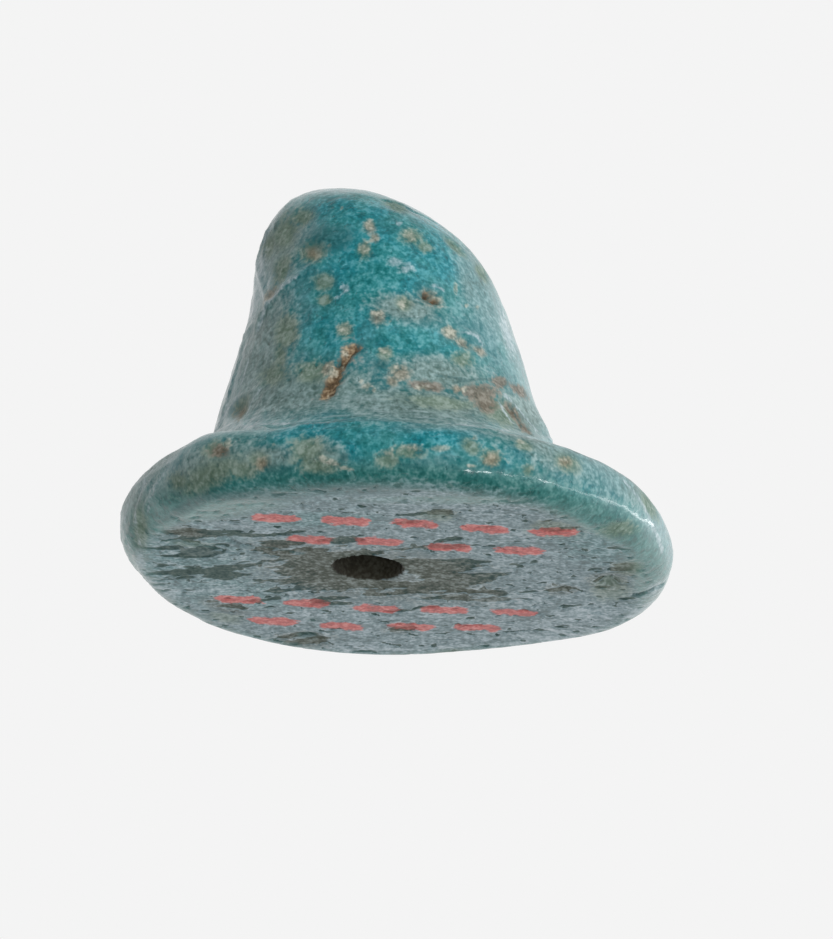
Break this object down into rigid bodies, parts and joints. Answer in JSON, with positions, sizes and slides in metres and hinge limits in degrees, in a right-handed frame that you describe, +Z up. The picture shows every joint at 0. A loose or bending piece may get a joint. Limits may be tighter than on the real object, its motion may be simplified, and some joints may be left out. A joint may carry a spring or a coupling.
{
  "type": "ceramic stamp seal",
  "caption": "Small glazed ceramic stamp seal: a leaning bell-shaped knob on a thick round disc, with a blind hole in its flat face.",
  "frame": {"origin": "centre of the flat stamping face, at the middle of the bounding box's underside", "axes": "+Z up through the knob, -Y the front with the long pit, +X to the right seen from the front; the knob leans to -X"},
  "size_m": [0.02, 0.0196, 0.0146],
  "materials": {
    "glaze": "worn satin turquoise glaze with earthy pits and patches"
  },
  "bodies": {
    "root": {"stamp_seal": "glaze"}
  },
  "joints": []
}
